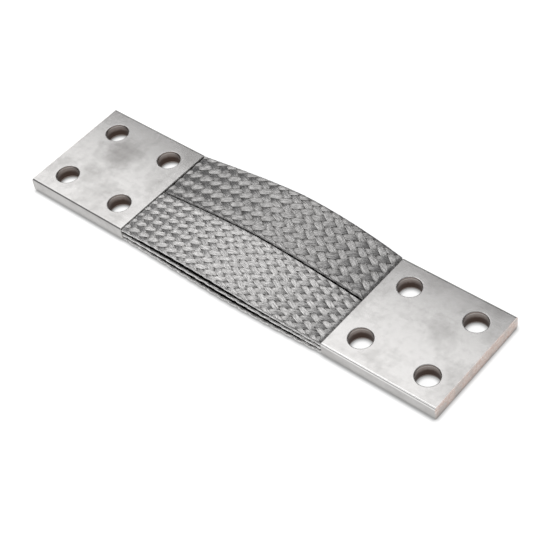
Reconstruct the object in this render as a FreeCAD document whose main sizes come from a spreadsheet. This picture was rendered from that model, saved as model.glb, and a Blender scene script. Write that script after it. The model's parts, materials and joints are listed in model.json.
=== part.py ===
# A flexible bonding strap: six tinned copper braids in three layers, pressed into a flat sleeve at each end.
# Millimetres. X runs along the strap, Y across it from front to back, Z up from the surface it lies on.
import FreeCAD, Part
import math
import os
import Sketcher

Vector = FreeCAD.Vector

# Driving sizes, in millimetres
SIZES = {
    "pad_length": 76.2,
    "pad_width": 76.2,
    "pad_thickness": 9.5,
    "wall": 1.3,
    "edge_radius": 1.6,
    "mouth_radius": 0.5,
    "rim_radius": 0.6,
    "hole_radius": 7.144,
    "hole_pitch": 44.45,
    "span_length": 151.6,
    "braid_thickness": 2.3,
    "floor_clearance": 0.3,
    "mouth_ramp": 3.0,
    "middle_mouth_lift": 0.9,
    "top_mouth_lift": 2.2,
    "middle_arch": 3.4,
    "top_arch": 6.6,
    "spread_low": 1.8,
    "spread_high": 3.0,
    "slit": 0.4,
    "strand_repeat": 7.58,
    "front_spacing": 5.9,
    "back_spacing": 8.2,
    "ridge_height": 0.55,
}

LAYERS = ("bottom", "middle", "top")
FRONT_TURN = 0
BACK_TURN = 180

# How the arch of a braid curves: 1 for two straight slopes, 2 for a parabola
ARCH_POWER = 1.6
# Share by which a braid lies higher towards its own +X end, and lower towards its other end, than an even one
MIDDLE_ARCH_LEAN = 0.35
TOP_MOUTH_LEAN = -0.12
# Share by which all the braids fan out more towards the right sleeve, and less towards the left one
FAN_LEAN = 0.6
# Half the ridge on one crossing, in rows along the braid and in steps across it
RIDGE_ROWS = 0.40
RIDGE_STEPS = 0.20
# Half crossings round one edge of a flattened braid
EDGE_STEPS = 2


def make_sheet(doc):
    sheet = doc.addObject("Spreadsheet::Sheet", "Sizes")
    for row, (alias, value) in enumerate(SIZES.items(), start=1):
        sheet.set(f"A{row}", alias)
        sheet.set(f"B{row}", str(value))
        sheet.setAlias(f"B{row}", alias)
    doc.recompute()
    return sheet


# Sketch helpers


def new_sketch(body, name, plane_role):
    sketch = body.newObject("Sketcher::SketchObject", name)
    plane = next(item for item in body.Origin.OriginFeatures if item.Role == plane_role)
    sketch.AttachmentSupport = [(plane, "")]
    sketch.MapMode = "FlatFace"
    return sketch


def constrain(sketch, *arguments):
    return sketch.addConstraint(Sketcher.Constraint(*arguments))


def dimension(sketch, name, expression, *arguments):
    sketch.renameConstraint(constrain(sketch, *arguments), name)
    sketch.setExpression(f"Constraints.{name}", expression)


def draw_centred_box(sketch, name, low, high, width, height, base):
    """A rectangle centred on the sketch's vertical axis, its lower side at the height of base."""
    corners = [
        Vector(low[0], low[1], 0),
        Vector(high[0], low[1], 0),
        Vector(high[0], high[1], 0),
        Vector(low[0], high[1], 0),
    ]
    lines = [
        sketch.addGeometry(Part.LineSegment(corner, following), False)
        for corner, following in zip(corners, corners[1:] + corners[:1])
    ]
    bottom, right, top, left = lines
    for line, following in zip(lines, lines[1:] + lines[:1]):
        constrain(sketch, "Coincident", line, 2, following, 1)
    constrain(sketch, "Horizontal", top)
    constrain(sketch, "Vertical", right)
    constrain(sketch, "Vertical", left)
    constrain(sketch, "Symmetric", bottom, 1, bottom, 2, -2)
    dimension(sketch, f"{name}_width", width, "DistanceX", bottom, 1, bottom, 2, high[0] - low[0])
    dimension(sketch, f"{name}_height", height, "DistanceY", right, 1, right, 2, high[1] - low[1])
    if base:
        dimension(sketch, f"{name}_base", base, "DistanceY", -1, 1, bottom, 1, low[1])
    else:
        constrain(sketch, "PointOnObject", bottom, 1, -1)


# Sleeves


def edge_names(feature, wanted):
    return [f"Edge{number}" for number, edge in enumerate(feature.Shape.Edges, start=1) if wanted(edge)]


def round_edges(body, name, feature, wanted, size_name):
    fillet = body.newObject("PartDesign::Fillet", name)
    fillet.Base = (feature, edge_names(feature, wanted))
    fillet.setExpression("Radius", f"Sizes.{size_name}")
    body.Document.recompute()
    return fillet


def draw_hole_circles(sketch, sheet):
    """Four circles on a square, centred on the sleeve."""
    near = (sheet.pad_length - sheet.hole_pitch) / 2
    far = near + sheet.hole_pitch
    side = sheet.hole_pitch / 2
    centres = [(near, side), (near, -side), (far, side), (far, -side)]
    circles = [
        sketch.addGeometry(Part.Circle(Vector(x, y, 0), Vector(0, 0, 1), sheet.hole_radius), False)
        for x, y in centres
    ]
    near_back, near_front, far_back, far_front = circles
    for circle in circles[1:]:
        constrain(sketch, "Equal", near_back, circle)
    constrain(sketch, "Symmetric", near_back, 3, near_front, 3, -1)
    constrain(sketch, "Symmetric", far_back, 3, far_front, 3, -1)
    constrain(sketch, "Horizontal", near_back, 3, far_back, 3)
    dimension(sketch, "radius", "Sizes.hole_radius", "Radius", near_back, sheet.hole_radius)
    dimension(sketch, "side", "Sizes.hole_pitch / 2", "DistanceY", -1, 1, near_back, 3, side)
    dimension(
        sketch, "near", "(Sizes.pad_length - Sizes.hole_pitch) / 2",
        "DistanceX", -1, 1, near_back, 3, near,
    )
    dimension(
        sketch, "pitch", "Sizes.hole_pitch",
        "DistanceX", near_back, 3, far_back, 3, sheet.hole_pitch,
    )


def make_ferrule(doc, sheet, label, turn, mouth_expression):
    """A tube pressed flat, from its mouth at x = 0 to its cut end, with four punched bolt holes."""
    body = doc.addObject("PartDesign::Body", label)
    half_width = sheet.pad_width / 2
    thickness = sheet.pad_thickness
    wall = sheet.wall

    section = new_sketch(body, f"{label}_section", "YZ_Plane")
    draw_centred_box(
        section, "outer", (-half_width, 0), (half_width, thickness),
        "Sizes.pad_width", "Sizes.pad_thickness", None,
    )
    draw_centred_box(
        section, "inner", (wall - half_width, wall), (half_width - wall, thickness - wall),
        "Sizes.pad_width - 2 * Sizes.wall", "Sizes.pad_thickness - 2 * Sizes.wall", "Sizes.wall",
    )
    tube = body.newObject("PartDesign::Pad", f"{label}_tube")
    tube.Profile = section
    tube.setExpression("Length", "Sizes.pad_length")
    doc.recompute()

    def on_outer_face(point):
        return min(point.z, thickness - point.z, half_width - abs(point.y)) < wall / 2

    def along_corner(edge):
        box = edge.BoundBox
        lengthways = box.XLength > box.YLength + box.ZLength
        return lengthways and on_outer_face(box.Center)

    def round_mouth(edge):
        box = edge.BoundBox
        return box.XMax < wall / 2 and on_outer_face(box.Center)

    def round_hole(edge):
        box = edge.BoundBox
        inside_pad = box.XMin > wall and box.XMax < sheet.pad_length - wall
        return inside_pad and box.ZLength < wall / 2 and on_outer_face(box.Center)

    corners = round_edges(body, f"{label}_corners", tube, along_corner, "edge_radius")
    mouth = round_edges(body, f"{label}_mouth", corners, round_mouth, "mouth_radius")

    circles = new_sketch(body, f"{label}_circles", "XY_Plane")
    draw_hole_circles(circles, sheet)
    holes = body.newObject("PartDesign::Pocket", f"{label}_holes")
    holes.Profile = circles
    holes.Type = "ThroughAll"
    holes.Reversed = True
    doc.recompute()
    if holes.Shape.Volume >= mouth.Shape.Volume:
        raise RuntimeError(f"{label}: the bolt holes cut nothing")

    round_edges(body, f"{label}_rims", holes, round_hole, "rim_radius")
    body.Placement.Rotation = FreeCAD.Rotation(Vector(0, 0, 1), turn)
    body.setExpression("Placement.Base.x", mouth_expression)
    return body


# Braids


class BraidSkin:
    """The surface of one front braid, as flat facets on a lattice of crossing strands.

    A row number runs along the span from mouth to mouth, and a step number round the flattened section: over
    the upper face from the middle of the strap outwards, down the outer edge, back under the lower face and
    up the inner edge. Points of the lattice are where both numbers are odd or both are even. The places
    between them are the crossings, each with the ridge of the strand that lies on top there. A strand passes
    over two others and then under two, and moves on by half a step in each row.
    """

    def __init__(self, sheet, layer, strand_spacing, turn):
        self.sheet = sheet
        self.layer = layer
        self.fan_lean = FAN_LEAN if turn == FRONT_TURN else -FAN_LEAN
        self.half_span = sheet.span_length / 2
        self.rows = 2 * max(2, round(sheet.span_length / sheet.strand_repeat))
        face_width = sheet.pad_width / 2 + self.spread()
        self.face_steps = 2 * max(2, round(face_width / strand_spacing))
        self.top_end = self.face_steps
        self.outer_end = self.top_end + EDGE_STEPS
        self.bottom_end = self.outer_end + self.face_steps
        self.inner_end = self.bottom_end + EDGE_STEPS
        self.sides = [
            (0, self.top_end),
            (self.top_end, self.outer_end),
            (self.outer_end, self.bottom_end),
            (self.bottom_end, self.inner_end),
        ]
        self.polygons = []

    def spread(self):
        """How far the braid fans out past its sleeve at mid-span."""
        low = self.sheet.spread_low
        return low + (self.sheet.spread_high - low) * self.layer / (len(LAYERS) - 1)

    def lift(self, along, opened, arched):
        """The open height below the braid, all the gaps of the stack together."""
        sheet = self.sheet
        at_mouth = (0, sheet.middle_mouth_lift, sheet.top_mouth_lift * (1 + TOP_MOUTH_LEAN * along))
        arch = (0, sheet.middle_arch * (1 + MIDDLE_ARCH_LEAN * along), sheet.top_arch)
        return at_mouth[self.layer] * opened + arch[self.layer] * arched

    def point(self, row, step, on_ridge):
        """A point of the skin: on the nominal section where a strand crowns, below it between strands."""
        sheet = self.sheet
        x = self.half_span * (2 * row / self.rows - 1)
        along = x / self.half_span
        opened = 1 - (1 - min(1, (self.half_span - abs(x)) / sheet.mouth_ramp)) ** 2
        arched = 1 - abs(along) ** ARCH_POWER

        pressed = (sheet.pad_thickness - 2 * sheet.wall) / len(LAYERS)
        height = pressed + (sheet.braid_thickness - pressed) * opened
        lowest = sheet.wall + (sheet.floor_clearance - sheet.wall) * opened
        bottom = lowest + self.layer * height + self.lift(along, opened, arched)
        middle = bottom + height / 2
        edge = height / 2 * opened
        fanned = self.spread() * arched * (1 + self.fan_lean * along)
        outer = sheet.pad_width / 2 - sheet.wall * (1 - opened) + fanned - edge
        inner = sheet.slit / 2 * opened + edge

        step = step % self.inner_end
        if step <= self.top_end:
            reach = inner + (outer - inner) * step / self.face_steps
            angle = math.pi / 2
        elif step <= self.outer_end:
            reach = outer
            angle = math.pi / 2 - math.pi * (step - self.top_end) / EDGE_STEPS
        elif step <= self.bottom_end:
            reach = outer + (inner - outer) * (step - self.outer_end) / self.face_steps
            angle = -math.pi / 2
        else:
            reach = inner
            angle = -math.pi / 2 - math.pi * (step - self.bottom_end) / EDGE_STEPS
        outward = Vector(0, -math.cos(angle), math.sin(angle))
        sunk = 0 if on_ridge else sheet.ridge_height * opened
        surface = Vector(x, -reach - edge * math.cos(angle), middle + height / 2 * math.sin(angle))
        return surface - outward * sunk

    def valley(self, row, step):
        return self.point(row, step, False)

    def add(self, *corners):
        self.polygons.append(list(corners))

    def add_crossing(self, row, step):
        """The six facets of one strand where it passes over another."""
        west = self.valley(row - 1, step)
        north = self.valley(row, step + 1)
        east = self.valley(row + 1, step)
        south = self.valley(row, step - 1)
        if row % 2:
            first, second, third, fourth = west, north, east, south
            aside = RIDGE_STEPS
        else:
            first, second, third, fourth = north, east, south, west
            aside = -RIDGE_STEPS
        near = self.point(row - RIDGE_ROWS, step - aside, True)
        far = self.point(row + RIDGE_ROWS, step + aside, True)
        self.add(first, second, far)
        self.add(first, far, near)
        self.add(second, third, far)
        self.add(third, fourth, near)
        self.add(third, near, far)
        self.add(fourth, first, near)

    def add_woven_band(self, start, end):
        """Crossings from one step to another, with plain triangles along the band's borders."""
        for row in range(self.rows + 1):
            for step in range(start, end + 1):
                if (row + step) % 2 == 0:
                    continue
                if row == 0:
                    self.add(self.valley(0, step - 1), self.valley(0, step + 1), self.valley(1, step))
                elif row == self.rows:
                    self.add(
                        self.valley(row, step - 1), self.valley(row - 1, step), self.valley(row, step + 1)
                    )
                elif step == start:
                    self.add(
                        self.valley(row - 1, step), self.valley(row, step + 1), self.valley(row + 1, step)
                    )
                elif step == end:
                    self.add(
                        self.valley(row - 1, step), self.valley(row + 1, step), self.valley(row, step - 1)
                    )
                else:
                    self.add_crossing(row, step)

    def add_plain_side(self, start, end):
        """A flat face of the braid that lies hidden between two layers."""
        for row in range(0, self.rows, 2):
            self.add(
                self.valley(row, start), self.valley(row, end),
                self.valley(row + 2, end), self.valley(row + 2, start),
            )

    def add_pressed_end(self, row, woven):
        """The end of the braid that the sleeve holds, a solid bar as long as the sleeve."""
        at_start = row == 0
        reach = Vector(-self.sheet.pad_length if at_start else self.sheet.pad_length, 0, 0)
        for start, end in self.sides:
            stride = 2 if woven(start, end) else end - start
            mouth = [self.valley(row, step) for step in range(start, end + 1, stride)]
            polygon = mouth + [mouth[-1] + reach, mouth[0] + reach]
            self.polygons.append(polygon[::-1] if at_start else polygon)
        cap = [self.valley(row, start) + reach for start, end in self.sides]
        self.polygons.append(cap[::-1] if at_start else cap)

    def solid(self):
        """The closed solid, woven on its edges and on the face that looks out of the stack."""
        top, outer, bottom, inner = self.sides
        if LAYERS[self.layer] == "top":
            bands = [(inner[0] - self.inner_end, outer[1])]
            plain = [bottom]
        elif LAYERS[self.layer] == "bottom":
            bands = [(outer[0], inner[1])]
            plain = [top]
        else:
            bands = [outer, inner]
            plain = [top, bottom]
        for start, end in bands:
            self.add_woven_band(start, end)
        for start, end in plain:
            self.add_plain_side(start, end)
        for row in (0, self.rows):
            self.add_pressed_end(row, lambda start, end: (start, end) not in plain)
        faces = [Part.Face(Part.makePolygon(polygon + polygon[:1])) for polygon in self.polygons]
        shell = Part.makeShell(faces)
        shell.sewShape()
        return Part.makeSolid(shell)


def make_bolt_shafts(doc):
    """Round bars through all the bolt holes, which cut the braids' pressed ends."""
    shafts = []
    for end_sign in "+-":
        for x_sign in "+-":
            for y_sign in "+-":
                shaft = doc.addObject("Part::Cylinder", f"bolt_shaft_{len(shafts)}")
                shaft.setExpression("Radius", "Sizes.hole_radius")
                shaft.setExpression("Height", "Sizes.pad_thickness")
                shaft.setExpression(
                    "Placement.Base.x",
                    f"{end_sign}(Sizes.span_length + Sizes.pad_length) / 2 {x_sign} Sizes.hole_pitch / 2",
                )
                shaft.setExpression("Placement.Base.y", f"{y_sign}Sizes.hole_pitch / 2")
                shafts.append(shaft)
    group = doc.addObject("Part::Compound", "bolt_shafts")
    group.Links = shafts
    doc.recompute()
    return group


def make_braid(doc, sheet, label, layer, strand_spacing, turn, bolt_shafts):
    skin = doc.addObject("Part::Feature", f"{label}_woven")
    skin.Shape = BraidSkin(sheet, layer, strand_spacing, turn).solid()
    skin.Placement = FreeCAD.Placement(Vector(0, 0, 0), FreeCAD.Rotation(Vector(0, 0, 1), turn))
    braid = doc.addObject("Part::Cut", label)
    braid.Base = skin
    braid.Tool = bolt_shafts
    return braid


# Assembly


def check(doc, nodes):
    for item in doc.Objects:
        if "Invalid" in item.State or "Error" in item.State:
            raise RuntimeError(f"{item.Name} failed: {item.State}")
    for node in nodes:
        if node.Shape.isNull() or not node.Shape.isValid():
            raise RuntimeError(f"{node.Label} has no valid shape")
        if len(node.Shape.Solids) != 1 or node.Shape.Volume <= 0:
            raise RuntimeError(f"{node.Label} is not one closed solid")


def main():
    doc = FreeCAD.newDocument("bonding_strap")
    sheet = make_sheet(doc)
    nodes = [
        make_ferrule(doc, sheet, "left_ferrule", BACK_TURN, "-Sizes.span_length / 2"),
        make_ferrule(doc, sheet, "right_ferrule", FRONT_TURN, "Sizes.span_length / 2"),
    ]
    bolt_shafts = make_bolt_shafts(doc)
    for layer, name in enumerate(LAYERS):
        front, back = f"braid_{name}_front", f"braid_{name}_back"
        nodes.append(make_braid(doc, sheet, front, layer, sheet.front_spacing, FRONT_TURN, bolt_shafts))
        nodes.append(make_braid(doc, sheet, back, layer, sheet.back_spacing, BACK_TURN, bolt_shafts))
    doc.recompute()
    check(doc, nodes)

    os.makedirs("parts", exist_ok=True)
    for node in nodes:
        node.Shape.exportStep(f"parts/{node.Label}.step")
        print(node.Label, f"{node.Shape.Volume:.0f} mm3", len(node.Shape.Faces), "faces")
    print("OK")


main()
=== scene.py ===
# A flexible bonding strap: tinned copper braids in three layers, held by flat sleeves, on a white table
import json
import math

import bpy
import numpy as np
from mathutils import Matrix, Vector
from mathutils.geometry import tessellate_polygon


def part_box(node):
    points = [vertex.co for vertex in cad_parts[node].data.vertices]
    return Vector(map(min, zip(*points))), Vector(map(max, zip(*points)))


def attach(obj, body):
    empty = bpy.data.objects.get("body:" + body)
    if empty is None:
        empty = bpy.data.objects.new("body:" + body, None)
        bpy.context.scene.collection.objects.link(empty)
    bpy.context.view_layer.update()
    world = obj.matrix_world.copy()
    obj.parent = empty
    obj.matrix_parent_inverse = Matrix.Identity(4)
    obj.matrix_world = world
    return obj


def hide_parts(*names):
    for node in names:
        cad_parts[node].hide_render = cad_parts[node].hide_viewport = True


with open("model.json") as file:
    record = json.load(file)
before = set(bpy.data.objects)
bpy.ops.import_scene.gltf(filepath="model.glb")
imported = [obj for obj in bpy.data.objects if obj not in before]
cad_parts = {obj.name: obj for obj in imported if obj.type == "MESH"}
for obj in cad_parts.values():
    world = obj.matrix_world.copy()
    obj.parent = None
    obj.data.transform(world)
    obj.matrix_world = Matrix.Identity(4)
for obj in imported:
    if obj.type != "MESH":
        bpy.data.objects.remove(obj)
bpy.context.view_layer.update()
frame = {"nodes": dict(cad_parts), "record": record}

# Sizes read from the frame, in metres
sleeve_low, sleeve_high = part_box("right_ferrule")
bolts = next(mount for mount in frame["record"]["mounts"] if mount["name"] == "right_pad_bolts")
PAD_WIDTH = sleeve_high.y - sleeve_low.y
PAD_THICKNESS = sleeve_high.z - sleeve_low.z
PAD_CENTRE = bolts["pos_m"][0]
HALF_SPAN = sleeve_low.x
HALF_LENGTH = sleeve_high.x
HOLE_PITCH = bolts["dims"]["spacing_x_mm"] / 1000
HOLE_RADIUS = bolts["dims"]["hole_r_mm"] / 1000

# Form of the braids, as in their solids but for a tighter bend at the mouths and the count of crossings
LAYERS = ("bottom", "middle", "top")
WALL = 0.0013
BRAID_THICKNESS = 0.0023
PRESSED_THICKNESS = (PAD_THICKNESS - 2 * WALL) / len(LAYERS)
FLOOR_CLEARANCE = 0.0003
MOUTH_RAMP = 0.0009
MOUTH_LIFTS = (0, 0.0009, 0.0022)
MOUTH_LEANS = (0, 0, -0.12)
ARCHES = (0, 0.0034, 0.0066)
ARCH_LEANS = (0, 0.35, 0)
ARCH_POWER = 1.6
SPREADS = (0.0018, 0.0024, 0.0030)
FAN_LEAN = 0.6
SLIT = 0.0004
EDGE_STEPS = 2
ROWS = 38

# Half crossings over one face, and which way round each side's braids lie
SIDES = {"front": (12, 1), "back": (9, -1)}

# Strands: flat bundles of wires that pass over and under one another
COVER = 1.06
PINCH = 0.06
INSET = 0.00005
CRIMP = 0.00026
CRIMP_EASE = 0.7
CROWN = 0.00012
WIRE_RELIEF = 0.00013
WIRES = {"top": 6, "middle": 3, "bottom": 4}

# How much deeper the crossings are along the outer edges, and how much painted highlight the wires get there
EDGE_DEEPER = 1.0
EDGE_HIGHLIGHT_SHARE = 0.8

# Shade between two layers: how far in it is full, and how far up or down a face has to look to be in it
SHADE_DEPTH = 0.0009
FACING = 0.1

# Chance in the strands: sideways in steps, in width as a share, and in height and tilt in metres
SWAY = 0.05
SWELL = 0.03
SETTLE = 0.00004
ROLL = 0.00004

# Seeds: the first one, and the step from layer to layer
SEED = 7
SEED_STEP = 10

# Rows of points along the strands: between crossings, and round the bend at a mouth
SEGMENTS = {"top": 3, "middle": 2, "bottom": 3}
END_ROWS = 0.6
BEND_ROWS = (-END_ROWS, -0.2, 0, 0.07, 0.14, 0.22, 0.35, 0.65)

# Share of a strand's strip of the map that its wires fill, and the map's corner for the pressed ends
MAP_SHARE = 0.9
PRESSED_MAP = (0.999, 0.999)

# Pressed ends of the braids
PRESSED_INSET = 0.0005
# the value the pressed ends take in the braid's painted shade
PRESSED_PAINTED_SHADE = 0.5
CIRCLE_POINTS = 96

# Material slots of a braid
WIRE_SLOT = 0
PRESSED_SLOT = 1


# Braid geometry


def section(layer, turn, x):
    """The flattened section of a braid at x: its height, mid-height, edge radius, and its two sides."""
    along = np.clip(x / HALF_SPAN, -1, 1)
    opened = 1 - (1 - np.clip((HALF_SPAN - np.abs(x)) / MOUTH_RAMP, 0, 1)) ** 2
    arched = 1 - np.abs(along) ** ARCH_POWER
    height = PRESSED_THICKNESS + (BRAID_THICKNESS - PRESSED_THICKNESS) * opened
    lowest = WALL + (FLOOR_CLEARANCE - WALL) * opened
    at_mouth = MOUTH_LIFTS[layer] * opened * (1 + MOUTH_LEANS[layer] * along)
    lift = at_mouth + ARCHES[layer] * arched * (1 + ARCH_LEANS[layer] * along)
    middle = lowest + (layer + 0.5) * height + lift
    edge = height / 2 * opened
    fanned = SPREADS[layer] * arched * (1 + FAN_LEAN * turn * along)
    outer = PAD_WIDTH / 2 - WALL * (1 - opened) + fanned - edge
    inner = SLIT / 2 * opened + edge
    return height, middle, edge, outer, inner


def skin(layer, face_steps, turn, row, step):
    """Points of a braid's outer skin, its outward directions, and how far each lies in between two layers,
    which sets its painted shade.
    """
    corners = np.cumsum([0, face_steps, EDGE_STEPS, face_steps, EDGE_STEPS])
    step = np.mod(step, corners[-1])
    share = np.interp(step, corners, [0, 1, 1, 0, 0])
    angle = np.radians(np.interp(step, corners, [90, 90, -90, -90, -270]))
    x = HALF_SPAN * (2 * row / ROWS - 1)
    height, middle, edge, outer, inner = section(layer, turn, x)
    reach = inner + (outer - inner) * share
    facing_up = np.sin(angle)
    under_layer = (facing_up > FACING) & (layer < len(LAYERS) - 1)
    over_layer = (facing_up < -FACING) & (layer > 0)
    # painted shade on faces turned to a neighbouring layer, full a little way in from the outer edge
    shade_between_layers = np.where(under_layer | over_layer, np.clip((outer - reach) / SHADE_DEPTH, 0, 1), 0)
    points = np.stack([x, -reach - edge * np.cos(angle), middle + height / 2 * np.sin(angle)], axis=-1)
    outward = np.stack([np.zeros_like(x), -np.cos(angle), np.sin(angle)], axis=-1)
    return points, outward, shade_between_layers


def wander(draws, count, position, waves=4, slowest=0.05, fastest=0.6):
    """A smooth random line for each of several strands, of about unit size, along their positions."""
    total = np.zeros((count, len(position)))
    for _ in range(waves):
        pitch = draws.uniform(slowest, fastest, (count, 1))
        phase = draws.uniform(0, 2 * math.pi, (count, 1))
        total += np.sin(2 * math.pi * pitch * position[None, :] + phase)
    return total / math.sqrt(waves)


class Pile:
    """Vertices and faces of one mesh, gathered piece by piece."""

    def __init__(self):
        self.points = []
        self.faces = []
        self.painted_shades = []
        self.maps = []
        self.slots = []
        self.ridges = []
        self.count = 0

    def add_points(self, points, depth, place, ridge):
        """Adds points with their shade, place on the map and ridge mark; returns the first one's index."""
        start = self.count
        self.points.append(points.reshape(-1, 3))
        self.painted_shades.append(np.broadcast_to(depth, points.shape[:-1]).ravel())
        self.maps.append(np.broadcast_to(place, points.shape[:-1] + (2,)).reshape(-1, 2))
        self.ridges.append(np.broadcast_to(ridge, points.shape[:-1]).ravel())
        self.count += len(self.points[-1])
        return start

    def add_faces(self, faces, slot):
        """Adds arrays of faces, each array with one number of corners a face."""
        for face_array in faces:
            self.faces.append(face_array)
            self.slots.append(np.full(len(face_array), slot))

    def make(self, name, materials):
        """The object: its pressed faces are flat, and edges between points with one ridge mark are sharp."""
        corners = np.concatenate([face_array.ravel() for face_array in self.faces])
        sizes = np.concatenate([np.full(len(array), array.shape[1]) for array in self.faces])
        starts = np.concatenate([[0], np.cumsum(sizes)[:-1]])
        mesh = bpy.data.meshes.new(name)
        mesh.vertices.add(self.count)
        mesh.vertices.foreach_set("co", np.concatenate(self.points).astype(np.float32).ravel())
        mesh.loops.add(len(corners))
        mesh.loops.foreach_set("vertex_index", corners.astype(np.int32))
        mesh.polygons.add(len(sizes))
        mesh.polygons.foreach_set("loop_start", starts.astype(np.int32))
        mesh.polygons.foreach_set("material_index", np.concatenate(self.slots).astype(np.int32))
        mesh.update(calc_edges=True)
        mesh.validate()

        flat = mesh.attributes.new("sharp_face", "BOOLEAN", "FACE")
        flat.data.foreach_set("value", np.concatenate(self.slots) == PRESSED_SLOT)
        # the painted shade and highlight of the wires, read by their material
        depth = mesh.attributes.new("depth", "FLOAT", "POINT")
        depth.data.foreach_set("value", np.concatenate(self.painted_shades).astype(np.float32))
        place = mesh.uv_layers.new(name="OFBake")
        place.uv.foreach_set("vector", np.concatenate(self.maps)[corners].astype(np.float32).ravel())

        ends = np.empty(2 * len(mesh.edges), np.int32)
        mesh.edges.foreach_get("vertices", ends)
        ridge = np.concatenate(self.ridges)[ends.reshape(-1, 2)]
        sharp = (ridge[:, 0] >= 0) & (ridge[:, 0] == ridge[:, 1])
        edges = mesh.attributes.new("sharp_edge", "BOOLEAN", "EDGE")
        edges.data.foreach_set("value", sharp)
        for material in materials:
            mesh.materials.append(material)
        piece = bpy.data.objects.new(name, mesh)
        bpy.context.scene.collection.objects.link(piece)
        return piece


def place_rings(segments):
    """Rows at which the strands have points, with more of them by the mouths, where the braids bend."""
    inner = np.linspace(1, ROWS - 1, (ROWS - 2) * segments + 1)
    bend = np.array(BEND_ROWS)
    return np.concatenate([bend, inner, ROWS - bend[::-1]])


def join_rings(first, shape):
    """Faces of the strands from ring to ring and at their two ends, from the index of the first point."""
    index = first + np.arange(math.prod(shape)).reshape(shape)
    here, there = index[:, :-1], index[:, 1:]
    quads = np.stack([here, there, np.roll(there, -1, axis=2), np.roll(here, -1, axis=2)], axis=-1)
    caps = np.concatenate([index[:, 0], index[:, -1, ::-1]])
    return [quads.reshape(-1, 4), caps]


def add_strands(pile, layer, face_steps, turn, draws):
    """Both sets of strands, one winding up the lattice and one down it, each over two and then under two."""
    wires = WIRES[LAYERS[layer]]
    count = 2 * (face_steps + EDGE_STEPS)
    row_pitch = 2 * HALF_SPAN / ROWS
    step_pitch = (PAD_WIDTH / 2 + SPREADS[layer]) / face_steps
    sideways = step_pitch / 2
    slant = math.hypot(row_pitch, sideways)
    width = COVER * step_pitch * row_pitch / slant
    rings = place_rings(SEGMENTS[LAYERS[layer]])
    across = np.linspace(-0.5, 0.5, 2 * wires + 1)
    starts = np.arange(count)
    columns = np.arange(len(across))
    furrow = np.where(columns % 2 == 0, columns, -1)

    for winding in (1, -1):
        first_crest = 1 + 2 * (starts % 2) if winding > 0 else 2 - 2 * (starts % 2)
        swing = np.cos(math.pi / 2 * (rings[None, :] - first_crest[:, None]))
        crimp = swing * math.sqrt(1 + CRIMP_EASE ** 2) / np.sqrt(swing ** 2 + CRIMP_EASE ** 2)
        shift = SWAY * wander(draws, count, rings) - (winding > 0) / 2
        swell = 1 + PINCH * crimp + SWELL * wander(draws, count, rings)
        sink = SETTLE * wander(draws, count, rings)
        roll = ROLL * wander(draws, count, rings)

        offset = width * swell[:, :, None] * across
        row = rings[None, :, None] + winding * offset * sideways / (slant * row_pitch)
        step = (starts[:, None] + winding * rings[None, :] / 2 + shift)[:, :, None]
        step = step - offset * row_pitch / (slant * step_pitch)
        points, outward, shade_between_layers = skin(layer, face_steps, turn, row, step)

        relief = CROWN * (1 - (2 * across) ** 2) + np.where(furrow < 0, WIRE_RELIEF, 0)
        level = CRIMP * crimp[:, :, None] + relief + roll[:, :, None] * 2 * across
        level = level - np.abs(sink)[:, :, None]
        depth = np.maximum(CRIMP + CROWN + WIRE_RELIEF - level, 0)
        outer_edge = np.where(points[..., 1] < -PAD_WIDTH / 4, np.abs(outward[..., 1]), 0)
        # painted shade from depth and between layers, less a painted highlight along the outer edges
        painted_shade_and_highlight = depth / (2 * CRIMP + CROWN) - EDGE_HIGHLIGHT_SHARE * outer_edge + shade_between_layers
        depth = depth * (1 + EDGE_DEEPER * outer_edge)
        points = (points - outward * (INSET + depth[..., None])) * (turn, turn, 1)

        strand = (starts + (0 if winding > 0 else count))[:, None, None]
        place = np.stack(np.broadcast_arrays(
            (rings[None, :, None] + END_ROWS) / (ROWS + 2 * END_ROWS),
            (strand + 0.5 + MAP_SHARE * across) / (2 * count),
        ), axis=-1)
        ridge_marks = np.where(furrow >= 0, strand * len(across) + furrow, -1)
        first = pile.add_points(points, painted_shade_and_highlight, place, ridge_marks)
        pile.add_faces(join_rings(first, points.shape[:3]), WIRE_SLOT)


def pressed_loops(end):
    """Outline of a pressed end seen from above, for a front braid, and the circles of its two bolt holes."""
    ends = (end * (HALF_SPAN + PRESSED_INSET), end * HALF_LENGTH)
    low_x, high_x = min(ends), max(ends)
    outer_y = -(PAD_WIDTH / 2 - WALL)
    loops = [[(low_x, outer_y), (high_x, outer_y), (high_x, 0), (low_x, 0)]]
    turns = -2 * math.pi * np.arange(CIRCLE_POINTS) / CIRCLE_POINTS
    for hole in (-1, 1):
        centre_x = end * PAD_CENTRE + hole * HOLE_PITCH / 2
        centre_y = -HOLE_PITCH / 2
        loops.append([
            (centre_x + HOLE_RADIUS * math.cos(angle), centre_y + HOLE_RADIUS * math.sin(angle))
            for angle in turns
        ])
    return loops


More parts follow.
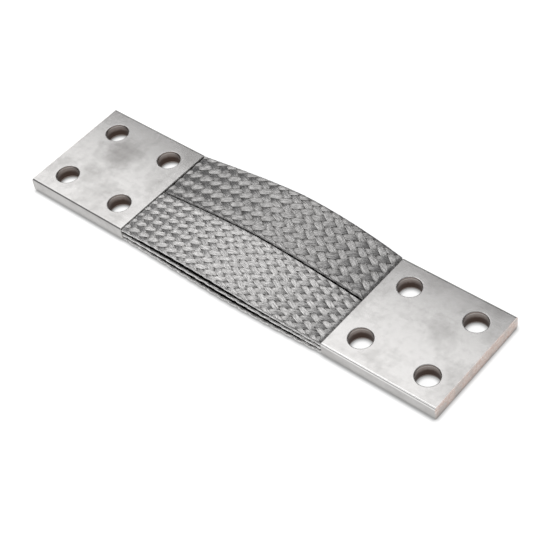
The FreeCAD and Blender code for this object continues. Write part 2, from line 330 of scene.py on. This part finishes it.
def add_pressed_end(pile, layer, turn, end):
    """The bar that a sleeve holds, from just inside the mouth to the cut end, with two of the bolt holes."""
    loops = pressed_loops(end)
    flat = np.array([point for loop in loops for point in loop])
    bottom = WALL + layer * PRESSED_THICKNESS
    heights = (bottom, bottom + PRESSED_THICKNESS)
    levels = [np.column_stack([flat, np.full(len(flat), height)]) for height in heights]
    points = np.concatenate(levels) * (turn, turn, 1)
    first = pile.add_points(points, PRESSED_PAINTED_SHADE, PRESSED_MAP, -1)

    triangles = np.array(tessellate_polygon([[Vector((x, y, 0)) for x, y in loop] for loop in loops]))
    ab = flat[triangles[:, 1]] - flat[triangles[:, 0]]
    ac = flat[triangles[:, 2]] - flat[triangles[:, 0]]
    clockwise = ab[:, 0] * ac[:, 1] - ab[:, 1] * ac[:, 0] < 0
    triangles[clockwise] = triangles[clockwise][:, ::-1]
    upper = len(flat)
    walls = []
    start = 0
    for loop in loops:
        here = start + np.arange(len(loop))
        there = start + np.roll(np.arange(len(loop)), -1)
        walls.append(np.column_stack([here, there, there + upper, here + upper]))
        start += len(loop)
    faces = [first + triangles + upper, first + triangles[:, ::-1], first + np.concatenate(walls)]
    pile.add_faces(faces, PRESSED_SLOT)


def make_braid(layer, side, materials):
    """One braid, its woven span and both pressed ends, in place of its solid."""
    face_steps, turn = SIDES[side]
    name = f"{LAYERS[layer]}_{side}"
    draws = np.random.default_rng(SEED + SEED_STEP * layer + (turn > 0))
    pile = Pile()
    add_strands(pile, layer, face_steps, turn, draws)
    for end in (-1, 1):
        add_pressed_end(pile, layer, turn, end)
    piece = pile.make(f"woven_{name}", materials)
    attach(piece, "root")
    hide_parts(f"braid_{name}")


# Materials


class Shader:
    """A node tree, with short ways to add and join its nodes."""

    def __init__(self, tree):
        self.tree = tree
        tree.nodes.clear()

    def add(self, kind, inputs=None, **settings):
        """A new node, with values or other nodes' outputs on its sockets."""
        node = self.tree.nodes.new(kind)
        for name, value in settings.items():
            setattr(node, name, value)
        for key, value in (inputs or {}).items():
            if isinstance(value, bpy.types.NodeSocket):
                self.tree.links.new(value, node.inputs[key])
            else:
                node.inputs[key].default_value = value
        return node

    def math(self, operation, first, second=0.0):
        return self.add("ShaderNodeMath", {0: first, 1: second}, operation=operation).outputs[0]

    def vector(self, operation, first, second):
        return self.add("ShaderNodeVectorMath", {0: first, 1: second}, operation=operation).outputs

    def between(self, value, low, high, smooth=True):
        """0 below low and 1 above high, or the other way round where low is the larger."""
        kind = "SMOOTHSTEP" if smooth else "LINEAR"
        inputs = {"Value": value, "From Min": low, "From Max": high}
        return self.add("ShaderNodeMapRange", inputs, interpolation_type=kind).outputs[0]

    def rescale(self, value, low, high):
        """A value from 0 to 1, stretched to run from low to high."""
        return self.add("ShaderNodeMapRange", {"Value": value, "To Min": low, "To Max": high}).outputs[0]

    def mix(self, share, first, second):
        """The first colour where the share is 0, and the second where it is 1."""
        inputs = {0: share, 6: first, 7: second}
        return self.add("ShaderNodeMix", inputs, data_type="RGBA").outputs[2]

    def noise(self, where, scale, detail=2.0, roughness=0.5):
        inputs = {"Vector": where, "Scale": scale, "Detail": detail, "Roughness": roughness}
        return self.add("ShaderNodeTexNoise", inputs).outputs["Fac"]

    def finish(self, surface, kind="ShaderNodeOutputMaterial"):
        self.add(kind, {"Surface": surface})


def new_shader(name):
    """A new material, and the shader that its nodes go into."""
    material = bpy.data.materials.new(name)
    material.use_nodes = True
    return material, Shader(material.node_tree)


# Colours of the tin, the copper and the walls of the holes; the duller tin is also painted shade, the
# brightest tin is a painted highlight, and the darkest wall is painted shade
TIN_LIGHT = (0.585, 0.575, 0.565, 1)
TIN_DULL_AND_SHADE = (0.38, 0.37, 0.36, 1)
TIN_PAINTED_HIGHLIGHT = (0.88, 0.87, 0.86, 1)
COPPER = (0.66, 0.52, 0.46, 1)
COPPER_PALE = (0.80, 0.72, 0.68, 1)
WORN_GREY = (0.56, 0.53, 0.51, 1)
HOLE_GREY = (0.35, 0.30, 0.275, 1)
HOLE_PAINTED_SHADE = (0.075, 0.05, 0.04, 1)

# Colours of the wires: their tint and brightness, the back braid's darker as painted shade, painted shade
# down between strands and between layers, and a painted highlight on edges
WIRE_TINT = (1.0, 0.985, 0.97)
WIRE_BRIGHTNESS = {"front": 0.84, "back": 0.60}
WIRE_SUNK_SHADE = (0.10, 0.095, 0.09, 1)
WIRE_HIDDEN_SHADE = (0.02, 0.02, 0.02, 1)
WIRE_EDGE_HIGHLIGHT = (0.97, 0.96, 0.95, 1)

# Tones of the wires, as shares of their brightness, and how far a strand can go towards the darker one
DARK_STRAND = 0.75
DARK_STREAK = 0.40
STRAND_CONTRAST = 0.35

# Streaks of tone along the wires, to a row of crossings and to the width of a strand
STREAKS_A_ROW = 1.5
STREAKS_A_STRAND = 5.0

# Bands of painted shade and highlight in a braid, each from where it begins to where it is full
SUNK_SHADE_BAND = (0.12, 0.95)
HIDDEN_SHADE_BAND = (1.0, 1.7)
EDGE_HIGHLIGHT_BAND = (0, -0.5)

# Roughness, from the least to the most
TIN_ROUGHNESS = (0.18, 0.26)
WIRE_ROUGHNESS = (0.16, 0.45)
PRESSED_ROUGHNESS = (0.36, 0.52)

# Scales of the noise in the finishes, in features a metre
CLOUDS = 45
RAGGED_EDGES = 70
WEAR = 130
MOTTLE = 220
SCUFFS = 500
PRESSED_FLECKS = 500
COPPER_FLECKS = 900
GRAIN = 1400

# How strong the noise is: in shares of the duller colour, in metres of shift, and in relief
CLOUD_STRENGTH = 0.45
MOTTLE_STRENGTH = 0.45
SCUFF_STRENGTH = 0.12
WEAR_STRENGTH = 0.7
RAGGED_SHIFT = 0.010
DARK_SHIFT = 0.002
GRAIN_STRENGTH = 0.03
GRAIN_DEPTH = 0.0002

# Squeeze of the scuffs' noise along the strap, which draws them out lengthwise
SCUFF_SQUEEZE = (0.1, 1, 1)

# Bands round the holes, out from their edge, each from where it begins to where it is full
LIGHT_RIM = (0.0040, 0.0012)
GREY_WALL = (0.00030, 0.00005)
RIM_STRENGTH = 0.5

# The painted highlight along the upper front edge of the right sleeve: in from its front, and down from its
# top
HIGHLIGHT_IN = (0.0017, 0.0010)
HIGHLIGHT_DOWN = (0.0018, 0.0008)

# Where along the strap the copper of the cut ends begins, and where it is full
CUT_BAND = (HALF_LENGTH - 0.00012, HALF_LENGTH - 0.00006)

# Heights in the holes between which painted shade darkens the wall, and those of the light lip under the
# sleeve's top
HOLE_SHADE_BAND = (0.0084, 0.0052)
LIP_BAND = (PAD_THICKNESS - WALL - 0.0006, PAD_THICKNESS - WALL - 0.0001)

# Dull patches on the tops of the sleeves, partly painted shade that darkens the backs of both and the left
# one: where, how wide, how strong
SMUDGES_AND_PAINTED_SHADE = (
    (-0.120, 0.009, 0.017, 0.9),
    (-0.124, -0.014, 0.014, 0.5),
    (-0.084, 0.036, 0.018, 0.6),
    (-0.150, 0.036, 0.012, 0.4),
    (0.100, 0.040, 0.016, 0.6),
    (0.125, 0.005, 0.012, 0.5),
    (0.138, 0.038, 0.014, 0.6),
    (0.150, -0.020, 0.020, 0.4),
)

# The soft edge of each of those patches, in shares of its width
SMUDGE_AND_SHADE_EDGE = (1.25, 0.1)


def shade_cut_end(nodes, where, colour):
    """Copper on the cut ends of the strap, with grey worn patches, over another colour."""
    along = nodes.math("ABSOLUTE", nodes.add("ShaderNodeSeparateXYZ", {0: where}).outputs["X"])
    flecks = nodes.between(nodes.noise(where, COPPER_FLECKS, detail=4), 0.40, 0.62)
    worn = nodes.between(nodes.noise(where, WEAR, detail=3), 0.48, 0.66)
    copper = nodes.mix(flecks, COPPER, COPPER_PALE)
    bare = nodes.mix(nodes.math("MULTIPLY", worn, WEAR_STRENGTH), copper, WORN_GREY)
    return nodes.mix(nodes.between(along, *CUT_BAND), colour, bare)


def measure_from_hole(nodes, axes):
    """Distance from the axis of the nearest bolt hole."""
    from_middle = nodes.math("ABSOLUTE", axes["X"])
    from_centre = nodes.math("ABSOLUTE", nodes.math("SUBTRACT", from_middle, PAD_CENTRE))
    to_hole = nodes.add("ShaderNodeCombineXYZ", {
        "X": nodes.math("SUBTRACT", from_centre, HOLE_PITCH / 2),
        "Y": nodes.math("SUBTRACT", nodes.math("ABSOLUTE", axes["Y"]), HOLE_PITCH / 2),
    }).outputs[0]
    return nodes.add("ShaderNodeVectorMath", {0: to_hole}, operation="LENGTH").outputs["Value"]


def dull_tin_and_shade(nodes, where):
    """How dull the tin is from place to place: clouds, smudges that are partly painted shade, mottling, and
    scuffs along the strap.
    """
    edge_noise = nodes.noise(where, RAGGED_EDGES, detail=4, roughness=0.6)
    ripple = nodes.rescale(edge_noise, -RAGGED_SHIFT, RAGGED_SHIFT)
    clouds = nodes.between(nodes.noise(where, CLOUDS, detail=3), 0.40, 0.70)
    patches = nodes.math("MULTIPLY", clouds, CLOUD_STRENGTH)
    # smudges, partly painted shade on the backs of the sleeves and over the left one
    for x, y, radius, strength in SMUDGES_AND_PAINTED_SHADE:
        away = nodes.vector("DISTANCE", where, (x, y, PAD_THICKNESS))["Value"]
        ragged = nodes.math("ADD", away, ripple)
        begins, full = (share * radius for share in SMUDGE_AND_SHADE_EDGE)
        smudge_and_shade = nodes.math("MULTIPLY", nodes.between(ragged, begins, full), strength)
        patches = nodes.math("MAXIMUM", patches, smudge_and_shade)
    mottle_noise = nodes.noise(where, MOTTLE, detail=5, roughness=0.65)
    mottle = nodes.rescale(mottle_noise, -MOTTLE_STRENGTH, MOTTLE_STRENGTH)
    lengthwise = nodes.vector("MULTIPLY", where, SCUFF_SQUEEZE)["Vector"]
    scuffs = nodes.rescale(nodes.noise(lengthwise, SCUFFS, detail=3), -SCUFF_STRENGTH, SCUFF_STRENGTH)
    return nodes.math("ADD", patches, nodes.math("ADD", mottle, scuffs))


def paint_edge_highlight(nodes, axes):
    """Where a painted highlight brightens the tin: along the upper front edge of the right sleeve."""
    front = nodes.between(nodes.math("ADD", axes["Y"], PAD_WIDTH / 2), *HIGHLIGHT_IN)
    upper = nodes.between(nodes.math("SUBTRACT", PAD_THICKNESS, axes["Z"]), *HIGHLIGHT_DOWN)
    on_right = nodes.between(axes["X"], 0, HALF_SPAN)
    return nodes.math("MULTIPLY", nodes.math("MULTIPLY", front, upper), on_right)


def make_sleeve_material():
    """Satin tin plate with dull patches, partly painted shade, light rims round the holes, a painted
    highlight on the right sleeve's upper front edge, and bare copper on the cut ends.
    """
    material, nodes = new_shader("tinned_sleeve_finish_with_painted_light")
    where = nodes.add("ShaderNodeTexCoord").outputs["Object"]
    axes = nodes.add("ShaderNodeSeparateXYZ", {0: where}).outputs
    beyond_hole = nodes.math("SUBTRACT", measure_from_hole(nodes, axes), HOLE_RADIUS)
    patches = dull_tin_and_shade(nodes, where)
    rim = nodes.between(beyond_hole, *LIGHT_RIM)
    in_hole = nodes.between(beyond_hole, *GREY_WALL)

    tin = nodes.mix(patches, TIN_LIGHT, TIN_DULL_AND_SHADE)
    tin = nodes.mix(nodes.math("MULTIPLY", rim, RIM_STRENGTH), tin, TIN_LIGHT)
    # painted highlight along the right sleeve's upper front edge
    tin = nodes.mix(paint_edge_highlight(nodes, axes), tin, TIN_PAINTED_HIGHLIGHT)
    colour = shade_cut_end(nodes, where, nodes.mix(in_hole, tin, HOLE_GREY))

    grain = nodes.noise(where, GRAIN, detail=3, roughness=0.6)
    bump = nodes.add("ShaderNodeBump", {
        "Height": grain, "Strength": GRAIN_STRENGTH, "Distance": GRAIN_DEPTH,
    }).outputs[0]
    surface = nodes.add("ShaderNodeBsdfPrincipled", {
        "Base Color": colour, "Metallic": 1.0,
        "Roughness": nodes.rescale(patches, *TIN_ROUGHNESS), "Normal": bump,
    }).outputs[0]
    nodes.finish(surface)
    return material


def tint_wire(brightness):
    """The colour of a wire at a brightness."""
    return (*(brightness * part for part in WIRE_TINT), 1)


def make_wire_material(side):
    """Bright tinned wire, each a little different along its length, with painted shade down between the
    strands and between the layers, and a painted highlight on the outer edges.
    """
    material, nodes = new_shader(f"tinned_wire_{side}")
    # the painted shade and highlight set on the braid's points
    depth = nodes.add("ShaderNodeAttribute", attribute_name="depth").outputs["Fac"]
    strand = nodes.add("ShaderNodeNewGeometry").outputs["Random Per Island"]
    place = nodes.add("ShaderNodeUVMap", uv_map="OFBake").outputs[0]
    strands = 4 * (SIDES[side][0] + EDGE_STEPS)
    stretch = (STREAKS_A_ROW * ROWS, STREAKS_A_STRAND * strands, 1)
    wires = nodes.vector("MULTIPLY", place, stretch)["Vector"]
    streaks = nodes.between(nodes.noise(wires, 1.0, detail=2), 0.30, 0.70, smooth=False)

    # the back braid's wires are painted darker than the front's, as painted shade
    brightness = WIRE_BRIGHTNESS[side]
    darker = nodes.math("MULTIPLY", strand, STRAND_CONTRAST)
    bright = nodes.mix(darker, tint_wire(brightness), tint_wire(DARK_STRAND * brightness))
    tone = nodes.mix(streaks, tint_wire(DARK_STREAK * brightness), bright)
    # painted shade down between the strands, where the wires lie deepest
    sunk_shade = nodes.between(depth, *SUNK_SHADE_BAND)
    colour = nodes.mix(sunk_shade, tone, WIRE_SUNK_SHADE)
    # near black painted shade between the layers
    colour = nodes.mix(nodes.between(depth, *HIDDEN_SHADE_BAND), colour, WIRE_HIDDEN_SHADE)
    # painted highlight on the outer edges of the braids
    colour = nodes.mix(nodes.between(depth, *EDGE_HIGHLIGHT_BAND), colour, WIRE_EDGE_HIGHLIGHT)
    surface = nodes.add("ShaderNodeBsdfPrincipled", {
        "Base Color": colour, "Metallic": 1.0, "Roughness": nodes.rescale(sunk_shade, *WIRE_ROUGHNESS),
    }).outputs[0]
    nodes.finish(surface)
    return material


def make_pressed_material():
    """Braid pressed nearly solid: copper on the cut ends, and in the bolt holes grey above and painted shade
    below.
    """
    material, nodes = new_shader("pressed_copper_with_hole_shade")
    where = nodes.add("ShaderNodeTexCoord").outputs["Object"]
    height = nodes.add("ShaderNodeSeparateXYZ", {0: where}).outputs["Z"]
    flecks = nodes.noise(where, PRESSED_FLECKS, detail=3)
    uneven_height = nodes.math("ADD", height, nodes.math("MULTIPLY", flecks, DARK_SHIFT))
    # painted shade, darker towards the bottom of the holes
    shade = nodes.between(uneven_height, *HOLE_SHADE_BAND)
    lip = nodes.between(height, *LIP_BAND)
    wall = nodes.mix(lip, nodes.mix(shade, HOLE_GREY, HOLE_PAINTED_SHADE), TIN_LIGHT)
    surface = nodes.add("ShaderNodeBsdfPrincipled", {
        "Base Color": shade_cut_end(nodes, where, wall), "Metallic": 1.0,
        "Roughness": nodes.rescale(flecks, *PRESSED_ROUGHNESS),
    }).outputs[0]
    nodes.finish(surface)
    return material


# Stage, light and camera


TABLE_HALF = 4.0
TABLE_HEIGHT = -0.0001
TABLE_GREY = (0.30, 0.30, 0.30, 1)

# How white the table shows, straight to the camera and in the metal, and its shadow round the object
TABLE_SEEN = 0.94
TABLE_MIRRORED = 0.74
SHADOW_REACH = 0.0026
SHADOW_BAND = (0.45, 1.0)
SHADOW_DARKEST = 0.30

# The room: white round the horizon, grey overhead, darker on the far side than on the near one
HORIZON = (1, 1, 1, 1)
OVERHEAD_BAND = (0.05, 0.45)
CEILING_FAR = (0.19, 0.19, 0.195, 1)
CEILING_NEAR = (0.6, 0.6, 0.6, 1)
NEAR_SIDE = (0.73, -0.68, 0)
NEAR_BAND = (0.1, 0.8)

# Softboxes over the table: name, two opposite corners, radiance
LAMP_HEIGHT = 1.2
SOFTBOXES = (
    ("key", (-1.45, -0.20), (-0.18, 0.84), 1.4),
    ("key_left_fringe", (-1.95, -0.20), (-1.45, 0.84), 0.28),
    ("key_right_fringe", (-0.18, -0.20), (0.32, 0.84), 0.22),
    ("fill", (-0.85, -1.20), (-0.35, -0.30), 1.0),
)

# The photo's viewpoint: its angles, its distance from the point looked at, and the lens
CAMERA_AZIMUTH = math.radians(46.97)
CAMERA_ELEVATION = math.radians(47.55)
CAMERA_ROLL = math.radians(-9.44)
CAMERA_DISTANCE = 0.84424
CAMERA_TARGET = Vector((0.01886, -0.01223, 0.0095))
IMAGE_WIDTH = 540
FOCAL_PIXELS = 1488.22
SENSOR_WIDTH = 36.0
CLIP_START = 0.01


def make_floor():
    """A white table that shows white to the camera and in the metal, and still takes a shadow."""
    mesh = bpy.data.meshes.new("table")
    signs = ((-1, -1), (1, -1), (1, 1), (-1, 1))
    corners = [(x * TABLE_HALF, y * TABLE_HALF, TABLE_HEIGHT) for x, y in signs]
    mesh.from_pydata(corners, [], [(0, 1, 2, 3)])
    table = bpy.data.objects.new("table", mesh)
    bpy.context.scene.collection.objects.link(table)
    material, nodes = new_shader("white_table")
    light_path = nodes.add("ShaderNodeLightPath").outputs
    direct = nodes.math("MULTIPLY", light_path["Is Camera Ray"], TABLE_SEEN)
    bounced = nodes.math("MAXIMUM", light_path["Is Glossy Ray"], light_path["Is Transmission Ray"])
    seen = nodes.math("MAXIMUM", direct, nodes.math("MULTIPLY", bounced, TABLE_MIRRORED))
    open_share = nodes.add("ShaderNodeAmbientOcclusion", {"Distance": SHADOW_REACH}).outputs["AO"]
    shadow = nodes.rescale(nodes.between(open_share, *SHADOW_BAND, smooth=False), SHADOW_DARKEST, 1.0)
    glow = nodes.add("ShaderNodeEmission", {"Strength": nodes.math("MULTIPLY", seen, shadow)}).outputs[0]
    white = nodes.add("ShaderNodeBsdfDiffuse", {"Color": TABLE_GREY}).outputs[0]
    front = nodes.add("ShaderNodeAddShader", {0: white, 1: glow}).outputs[0]
    behind = nodes.add("ShaderNodeBsdfTransparent").outputs[0]
    backfacing = nodes.add("ShaderNodeNewGeometry").outputs["Backfacing"]
    nodes.finish(nodes.add("ShaderNodeMixShader", {0: backfacing, 1: front, 2: behind}).outputs[0])
    mesh.materials.append(material)


def make_world():
    """A pale room, bright round the horizon, grey overhead on the near side and darker on the far side."""
    world = bpy.data.worlds.new("room")
    world.use_nodes = True
    nodes = Shader(world.node_tree)
    where = nodes.add("ShaderNodeTexCoord").outputs["Generated"]
    height = nodes.add("ShaderNodeSeparateXYZ", {0: where}).outputs["Z"]
    overhead = nodes.between(height, *OVERHEAD_BAND)
    near_side = nodes.between(nodes.vector("DOT_PRODUCT", where, NEAR_SIDE)["Value"], *NEAR_BAND)
    ceiling = nodes.mix(near_side, CEILING_FAR, CEILING_NEAR)
    colour = nodes.mix(overhead, HORIZON, ceiling)
    nodes.finish(nodes.add("ShaderNodeBackground", {"Color": colour}).outputs[0], "ShaderNodeOutputWorld")
    bpy.context.scene.world = world


def add_softbox(name, low, high, radiance):
    """A rectangular lamp level with the table, facing down, between two corners."""
    lamp = bpy.data.lights.new(name, "AREA")
    lamp.shape = "RECTANGLE"
    lamp.size = high[0] - low[0]
    lamp.size_y = high[1] - low[1]
    lamp.energy = radiance * math.pi * lamp.size * lamp.size_y
    holder = bpy.data.objects.new(name, lamp)
    holder.location = ((low[0] + high[0]) / 2, (low[1] + high[1]) / 2, LAMP_HEIGHT)
    bpy.context.scene.collection.objects.link(holder)


def make_camera():
    """The photo's viewpoint, turned a little about its own axis."""
    back = Vector((
        math.sin(CAMERA_AZIMUTH) * math.cos(CAMERA_ELEVATION),
        -math.cos(CAMERA_AZIMUTH) * math.cos(CAMERA_ELEVATION),
        math.sin(CAMERA_ELEVATION),
    ))
    level = Vector((math.cos(CAMERA_AZIMUTH), math.sin(CAMERA_AZIMUTH), 0))
    above = back.cross(level)
    right = level * math.cos(CAMERA_ROLL) + above * math.sin(CAMERA_ROLL)
    up = above * math.cos(CAMERA_ROLL) - level * math.sin(CAMERA_ROLL)
    camera = bpy.data.cameras.new("camera")
    camera.sensor_width = SENSOR_WIDTH
    camera.lens = FOCAL_PIXELS / IMAGE_WIDTH * SENSOR_WIDTH
    camera.clip_start = CLIP_START
    holder = bpy.data.objects.new("camera", camera)
    turn = Matrix((right, up, back)).transposed().to_4x4()
    holder.matrix_world = Matrix.Translation(CAMERA_TARGET + back * CAMERA_DISTANCE) @ turn
    bpy.context.scene.collection.objects.link(holder)
    bpy.context.scene.camera = holder


def main():
    sleeve = make_sleeve_material()
    for node in ("left_ferrule", "right_ferrule"):
        ferrule = frame["nodes"][node]
        ferrule.data.materials.clear()
        ferrule.data.materials.append(sleeve)
    pressed = make_pressed_material()
    for side in SIDES:
        wire = make_wire_material(side)
        for layer in range(len(LAYERS)):
            make_braid(layer, side, [wire, pressed])
    make_floor()
    make_world()
    for name, low, high, radiance in SOFTBOXES:
        add_softbox(name, low, high, radiance)
    make_camera()
    bpy.context.scene.view_settings.view_transform = "Standard"


main()
